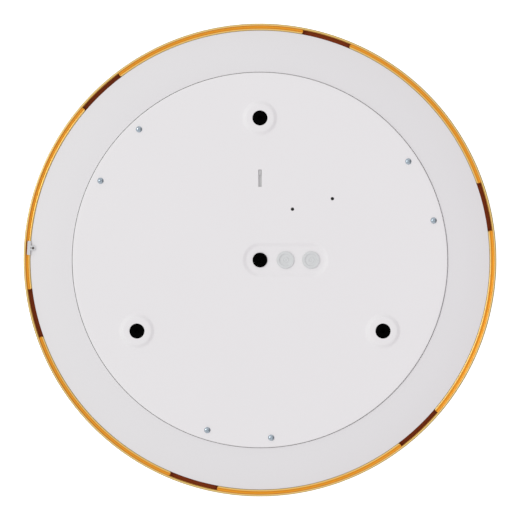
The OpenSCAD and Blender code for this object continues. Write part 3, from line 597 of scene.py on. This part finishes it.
# ---------------------------------------------------------------- body pan
def pan():
    s = Skin()
    wall_low = -30.0
    wall_foot = wall_low - SHEET
    wall_in, foot_in = PAN_R - SHEET, PAN_R - 9
    seat_r = GROOVE_IN - 22.5
    under = FLAT_LOW - SHEET
    back_out, back_in = GROOVE_OUT + SHEET, GROOVE_IN - SHEET
    s.spin(rounded(
        [(seat_r, FLAT_LOW, 0.3), (GROOVE_IN, FLAT_LOW, 0.9), (GROOVE_IN, GROOVE_Z, 0.6),
         (GROOVE_OUT, GROOVE_Z, 0.5), (GROOVE_OUT, CONE_IN, 0.5), (PAN_R, CONE_OUT - 0.1, 0.2),
         (PAN_R, wall_foot, 1.0), (foot_in, wall_foot, 0.3), (foot_in, wall_low, 0.3),
         (wall_in, wall_low, 0.3), (wall_in, CONE_OUT - SHEET - 0.1, 0.3),
         (back_out, CONE_IN - SHEET - 0.1, 0.4), (back_out, GROOVE_Z - SHEET, 0.6),
         (back_in, GROOVE_Z - SHEET, 0.6), (back_in, under, 0.5), (seat_r, under, 0.3)],
        steps=5))
    lug_top, lug_t, lug_reach, lug_root, lug_half = FLANGE_LOW - 0.4, 1.4, 4.5, 0.6, 4
    lug = rounded(
        [(PAN_R - lug_root, lug_top, 0), (PAN_R + lug_reach, lug_top, 0.35),
         (PAN_R + lug_reach, lug_top - lug_t, 0.35), (PAN_R - lug_root, lug_top - lug_t, 0)], steps=3)
    for angle in LUG_ANGLES:
        s.arc_bar(lug, angle - lug_half, 2 * lug_half)
    place(make("pan_stamping", s), "base", "pan_enamel", "body_pan")


# ---------------------------------------------------------------- trim ring
def trim_ring():
    """The wall with its flange, the ledge below the lugs and the lip that holds the dish."""
    s = Skin()
    bead, cove, soft, ledge_t = 1.35, 1.2, 0.3, 1
    lip_in = PAN_R - 1.4
    bead_at = Vector((FLANGE_IN + bead, FLANGE_TOP - 0.1))
    bead_arc = [bead_at + polar(bead, 35 + 145 * k / 12) for k in range(13)]
    flange = rounded([(RING_IN, RING_TOP, 0.5), (RING_IN, FLANGE_TOP, cove),
                      (bead_arc[0].x + 0.2, FLANGE_TOP, 0)], steps=6, closed=False)
    round_the_outside = rounded(
        [(FLANGE_IN, FLANGE_TOP - 0.6, 0), (FLANGE_IN, FLANGE_LOW, 0.45), (RING_IN, FLANGE_LOW, soft),
         (RING_IN, LEDGE_TOP, soft), (LEDGE_IN, LEDGE_TOP, 0.35), (LEDGE_IN, LEDGE_TOP - ledge_t, 0.35),
         (RING_IN, LEDGE_TOP - ledge_t, soft), (RING_IN, LIP_Z, soft), (lip_in, LIP_Z, 0.5),
         (lip_in, RING_LOW, 0.4), (RING_R, RING_LOW, 2.4), (RING_R, RING_TOP, 1.3),
         (RING_IN, RING_TOP, 0.5)], steps=7, closed=False)
    top_edge = rounded([(RING_R, RING_TOP, 0), (RING_IN, RING_TOP, 0.5), (RING_IN, FLANGE_TOP, 0)],
                       steps=4, closed=False)
    s.spin(flange[1:] + bead_arc + round_the_outside[:-1] + top_edge[1:-1], 720)
    ring = make("ring_spinning", s)
    cut(ring, make("notch_tool", notch_tools()))
    place(ring, "ring", "gold_satin", "trim_ring")


def notch_tools():
    """Curved blocks that take the notches out of the flange. A round tongue is left at each end."""
    low, high = FLANGE_LOW - 0.6, FLANGE_TOP + 2.2
    inner, outer = FLANGE_IN - 1, RING_IN - 0.5
    tongue_at, tongue_r, buried, half = FLANGE_IN + 2.75, 2.9, 0.9, 6.5
    across, along = 12, 16
    tools = Skin()
    for middle in NOTCH_ANGLES:
        ends = []
        for sign in (-1, 1):
            end = []
            for k in range(across + 1):
                r = inner + (outer - inner) * k / across
                reach = tongue_r ** 2 - min(tongue_r, abs(r - tongue_at)) ** 2
                inset = math.degrees(max(0.0, math.sqrt(reach) - buried) / r)
                end.append((r, sign * (half - inset)))
            ends.append(end)
        far = [(outer, -half + 2 * half * k / along) for k in range(1, along)]
        near = [(inner, half - 2 * half * k / along) for k in range(1, along)]
        outline = [polar(r, middle + a) for r, a in ends[0] + far + ends[1][::-1] + near]
        tools.prism(outline, low, high)
    return tools


# ---------------------------------------------------------------- diffuser
def diffuser():
    """A flat-bottomed opal dish with a collar that rests on the ring's lip."""
    s = Skin()
    collar, collar_h, thick = LIP_Z + 0.8, 2, 2.2
    rim, collar_r = PAN_R - 2, RING_IN - 0.7
    depth = collar - FOOT_Z
    neck = rounded(
        [(rim, collar, 0), (collar_r, collar, 0.3), (collar_r, collar + collar_h, 0.4),
         (rim - thick, collar + collar_h, 0.6), (rim - thick, collar, 0)], steps=4, closed=False)
    outside = dish_face(rim, depth, collar)
    inner_face = dish_face(rim - thick, depth - thick, collar)[::-1]
    s.spin(outside + neck[1:-1] + inner_face, closed=False)
    place(make("opal_dish", s, 60), "ring", "opal", "diffuser")


def dish_face(radius, depth, top, n=40):
    """The dish's section from its middle out: nearly flat, then a full round up to the rim."""
    flatness, fullness = 5, 2.2
    out = []
    for i in range(n + 1):
        r = radius * math.sin(math.pi / 2 * i / n)
        out.append((r, top - depth * (1 - min(1, r / radius) ** flatness) ** (1 / fullness)))
    return out


# ---------------------------------------------------------------- grommets
GROMMET_R, GROMMET_NECK, BLANK_R, BLANK_NECK = 7.8, 5.4, 9.2, 6.8
FIXING_BORE, CABLE_BORE = 2.5, 4.0
ENTRY_SEAT = FLAT - RECESS


def turned_copies(name, profile, centres, slot, node):
    s = Skin()
    one = Skin()
    one.spin(profile, 96, closed=profile[0][0] > 0)
    for x, y in centres:
        s.join(one, x, y)
    place(make(name, s), "base", slot, node)


def grommet(top, low, thick, bore):
    """A flange on the sheet, a neck through it and a catch behind it."""
    catch = GROMMET_NECK + 1.4
    return rounded(
        [(bore, top - 0.3, 0.3), (bore + 0.5, top, 0.2), (GROMMET_R, top, 0.5),
         (GROMMET_R, top - thick, 0.2), (GROMMET_NECK, top - thick, 0.1), (GROMMET_NECK, low + 1.4, 0.2),
         (catch, low + 1.4, 0.5), (catch - 0.5, low, 0.4), (bore, low, 0.3)], steps=4)


def blank_grommet(top, low):
    """A closed grommet: a plain rim, then two shallow steps and a small pip in the middle."""
    floor, catch, pocket = ENTRY_SEAT, BLANK_NECK + 1.2, BLANK_NECK - 1.6
    step, rise, pip = top - 0.7, top - 0.3, top - 0.2
    profile = rounded(
        [(0, low + 0.4, 0), (pocket, low + 0.4, 0.2), (pocket, low - 0.6, 0.2), (catch, low - 0.6, 0.4),
         (catch, low + 0.8, 0.4), (BLANK_NECK, low + 0.9, 0.1), (BLANK_NECK, floor, 0.1),
         (BLANK_R, floor, 0.2), (BLANK_R, top, 0.6), (6.6, top, 0.25), (6.1, step, 0.25), (3.4, step, 0.2),
         (3.05, rise, 0.15), (2.4, rise, 0.15), (2.05, step, 0.2), (0.9, step, 0.15), (0.7, pip, 0.15),
         (0, pip, 0)], steps=3, closed=False)
    return [tuple(p) for p in profile]


def grommets():
    fixing = grommet(0, -5.4, 0.99, FIXING_BORE)
    fixing_spots = [polar(FIXING_R, a) for a in FIXING_ANGLES]
    turned_copies("fixing_bushes", fixing, fixing_spots, "black_rubber", "fixing_grommets")
    top = ENTRY_SEAT + 1.2
    entry = grommet(top, ENTRY_SEAT - SHEET - 2.6, 1.2, CABLE_BORE)
    turned_copies("cable_bush", entry, [(0, 0)], "black_rubber", "cable_grommet")
    blank = blank_grommet(top, ENTRY_SEAT - SHEET - 1.8)
    blank_spots = [(ENTRY_PITCH, 0), (2 * ENTRY_PITCH, 0)]
    turned_copies("entry_blanks", blank, blank_spots, "grey_rubber", "spare_grommets")


# ---------------------------------------------------------------- screws and the tab
# Shares of a screw head's height, then shares of its radius
DOME, RIM, RIM_ROUND, RECESS_TOP, RECESS_FLOOR = 0.82, 0.15, 0.12, 1.05, 0.2
ARM, ARM_HALF_WIDTH = 0.40, 0.13
# How much narrower the recess is at its floor
ARM_TAPER, WIDTH_TAPER = 0.5, 0.55


def pan_screws(name, spots, head_r, head_h, shank_r, length, slot, node):
    """Domed heads with a tapered cross recess. spots are (x, y, seat height, turn)."""
    s, tool = Skin(), Skin()
    profile = screw_profile(head_r, head_h, shank_r, length)
    arm, wide = head_r * ARM, head_r * ARM_HALF_WIDTH
    for x, y, seat, turn in spots:
        one = Skin()
        one.spin([(r, seat + z) for r, z in profile], 64, closed=False)
        s.join(one, x, y)
        outline_low = cross(arm * ARM_TAPER, wide * WIDTH_TAPER, turn, (x, y))
        top = tool.loop(cross(arm, wide, turn, (x, y)), seat + head_h * RECESS_TOP)
        low = tool.loop(outline_low, seat + head_h * RECESS_FLOOR)
        tool.bridge(top, low)
        tool.cap(top)
        tool.cap(low, up=False)
    heads = make(name, s)
    cut(heads, make(name + "_tool", tool))
    place(heads, "base", slot, node)


def screw_profile(head_r, head_h, shank_r, length):
    """A ball-shaped dome, a thin rim, the shank and its point, with the seat at height 0."""
    drop = DOME * head_h
    ball = (head_r ** 2 + drop ** 2) / (2 * drop)
    edge = math.asin(head_r / ball)
    steps = 12
    dome = []
    for k in range(steps + 1):
        a = edge * k / steps
        dome.append((ball * math.sin(a), head_h - ball * (1 - math.cos(a))))
    return dome + rounded(
        [(head_r, RIM * head_h, 0), (head_r, 0, RIM_ROUND * head_h), (shank_r, 0, 0.1),
         (shank_r, -length + shank_r * 0.5, 0.1), (shank_r * 0.4, -length, 0.1), (0, -length, 0)],
        steps=5, closed=False)


def cross(arm, wide, turn, centre):
    """The outline of a cross recess."""
    out = []
    for k in range(4):
        a = math.radians(turn + 90 * k)
        along, across = Vector((math.cos(a), math.sin(a))), Vector((-math.sin(a), math.cos(a)))
        for reach, side in ((arm, -wide), (arm, wide), (wide, wide)):
            out.append(Vector(centre) + along * reach + across * side)
    return out


def fasteners():
    spots = [(*polar(SCREW_R, a), FLAT, turn) for a, turn in zip(SCREW_ANGLES, SCREW_TURNS)]
    pan_screws("plate_screw_heads", spots, 3.25, 1.85, 1.7, 9, "screw_steel", "plate_screws")
    spot = (*polar(TAB_SCREW_R, TAB_ANGLE), TAB_TOP - 0.7, 20)
    pan_screws("tab_screw_head", [spot], 1.3, 0.6, 0.8, 4.6, "dark_screw", "tab_screw")


def tab():
    """A flat nose over the ring's flange, and a round ear on a short post on the pan."""
    s = Skin()
    nose_in, nose_out, half = PAN_R + 0.1, PAN_R + 3.6, 7.4
    ear_r, ear, thick, screw_hole = TAB_SCREW_R, 2.6, 1.2, 0.95
    foot, post_top = CONE_OUT + 0.4, TAB_TOP - thick + 0.1
    round_ear = [polar(ear, a, (ear_r, 0)) for a in range(270, 89, -15)]
    outline = rounded(
        [(nose_in, half, 0.4), (nose_in, ear, 0.3), *[(x, -y, 0) for x, y in round_ear],
         (nose_in, -ear, 0.3), (nose_in, -half, 0.4), (nose_out, -half, 0.6), (nose_out, half, 0.6)],
        steps=4)
    turn = math.radians(TAB_ANGLE)
    cos, sin = math.cos(turn), math.sin(turn)

    def turned(points):
        return [Vector((cos * x - sin * y, sin * x + cos * y)) for x, y in points]

    sunk = [(1.55, 0), (1.4, -0.15), (1.4, -0.7), (screw_hole, -0.7), (screw_hole, -thick)]
    small = [(0.7, 0), (0.6, -0.15), (0.6, -thick)]
    holes_top, holes_low = [], []
    for centre, profile in (((ear_r, 0), sunk), ((PAN_R - 0.2, 0), small)):
        loops = [s.loop(turned(circle(r, 32, centre)), TAB_TOP + z) for r, z in profile]
        s.chain(loops)
        holes_top.append(loops[0])
        holes_low.append(loops[-1])
    top = s.loop(turned(outline), TAB_TOP)
    low = s.loop(turned(outline), TAB_TOP - thick)
    s.bridge(top, low)
    s.fill(top, holes_top)
    s.fill(low, holes_low, up=False)
    post = Skin()
    post.spin([(screw_hole, foot), (ear, foot), (ear, post_top), (screw_hole, post_top)], 48)
    s.join(post, *polar(ear_r, TAB_ANGLE))
    piece = make("clamp_tab", s)
    soften(piece, 0.22)
    place(piece, "base", "tab_enamel", "hold_down_tab")


# ---------------------------------------------------------------- CAD nodes that stay
def dress_cad():
    """Gives every CAD node the material that its record names."""
    slots = {p["node"]: p["material_slot"] for p in frame["record"]["subparts"]}
    for name, node in frame["nodes"].items():
        node.data.materials.clear()
        node.data.materials.append(MATERIALS[slots[name]])


# ---------------------------------------------------------------- stage
# World brightness overhead and to the west, and shares of it far east and below the horizon
SKY, SKY_EAST, SKY_BELOW = 0.98, 0.25, 0.7
FLOOR_R, FLOOR_GLOW = 6000, 0.5
FLOOR_TONES = (0.92, 0.92, 0.92, 1), (0.94, 0.94, 0.94, 1)
VIEW_WIDTH, VIEW_DISTANCE = 0.5498, 4.0
SENSOR = 36.0


def light(name, place_at, size, power, colour):
    """A square soft light that looks at the middle of the object."""
    data = bpy.data.lights.new(name, "AREA")
    data.energy = power
    data.color = colour
    data.shape = "RECTANGLE"
    data.size = data.size_y = size
    obj = bpy.data.objects.new(name, data)
    obj.location = place_at
    obj.rotation_euler = (-Vector(place_at)).to_track_quat("-Z", "Y").to_euler()
    bpy.context.scene.collection.objects.link(obj)
    obj.visible_camera = False
    return obj


def studio():
    scene = bpy.context.scene
    scene.view_settings.view_transform = "Standard"
    scene.view_settings.look = "None"
    scene.world = white_world()
    light("key", (-2.4, 0.9, 2.6), 1.1, 24, (0.97, 1.0, 0.98))
    light("fill", (1.5, -0.2, 2.2), 1.2, 9, (1.0, 0.80, 1.0)).visible_glossy = False
    white_floor()


def white_world():
    """Plain white to the camera. As a light it is dimmer to the east and below the horizon."""
    world = bpy.data.worlds.new("studio")
    world.use_nodes = True
    tree = world.node_tree

    def fade(value, start, end, low, high):
        node = tree.nodes.new("ShaderNodeMapRange")
        for key, number in {"From Min": start, "From Max": end, "To Min": low, "To Max": high}.items():
            node.inputs[key].default_value = number
        tree.links.new(value, node.inputs["Value"])
        return node.outputs["Result"]

    coords = tree.nodes.new("ShaderNodeTexCoord")
    split = tree.nodes.new("ShaderNodeSeparateXYZ")
    tree.links.new(coords.outputs["Generated"], split.inputs[0])
    both = tree.nodes.new("ShaderNodeMath")
    both.operation = "MULTIPLY"
    tree.links.new(fade(split.outputs["X"], 0.35, 1.0, SKY, SKY_EAST), both.inputs[0])
    tree.links.new(fade(split.outputs["Z"], -0.25, 0.1, SKY_BELOW, 1.0), both.inputs[1])
    seen = tree.nodes.new("ShaderNodeLightPath")
    plain = tree.nodes.new("ShaderNodeMix")
    plain.inputs["B"].default_value = 1.0
    tree.links.new(seen.outputs["Is Camera Ray"], plain.inputs["Factor"])
    tree.links.new(both.outputs[0], plain.inputs["A"])
    sky = tree.nodes["Background"]
    sky.inputs["Color"].default_value = (1, 1, 1, 1)
    tree.links.new(plain.outputs["Result"], sky.inputs["Strength"])
    return world


def white_floor():
    s = Skin()
    s.cap(s.loop(circle(FLOOR_R, 96), FOOT_Z - 0.05))
    floor = make("floor", s)
    m = Nodes("floor_white")
    m.put(m.shader.inputs["Base Color"], m.blend(m.remap(m.noise(3, 3.0), 0.0, 1.0), *FLOOR_TONES))
    m.put(m.shader.inputs["Roughness"], 0.9)
    m.put(m.shader.inputs["Specular IOR Level"], 0.0)
    m.put(m.shader.inputs["Emission Color"], (1, 1, 1, 1))
    m.put(m.shader.inputs["Emission Strength"], FLOOR_GLOW)
    floor.data.materials.append(m.material)
    floor.visible_glossy = False


def camera():
    """Straight above the ceiling face, far off, so that the light's edge stands square to the view."""
    data = bpy.data.cameras.new("camera")
    data.sensor_width = SENSOR
    data.lens = SENSOR * VIEW_DISTANCE / VIEW_WIDTH
    data.clip_start, data.clip_end = 0.1, 60
    obj = bpy.data.objects.new("camera", data)
    obj.location = (0, 0, RING_TOP * MM + VIEW_DISTANCE)
    bpy.context.scene.collection.objects.link(obj)
    bpy.context.scene.camera = obj


camera()
plate()
pan()
trim_ring()
diffuser()
grommets()
fasteners()
tab()
dress_cad()
studio()
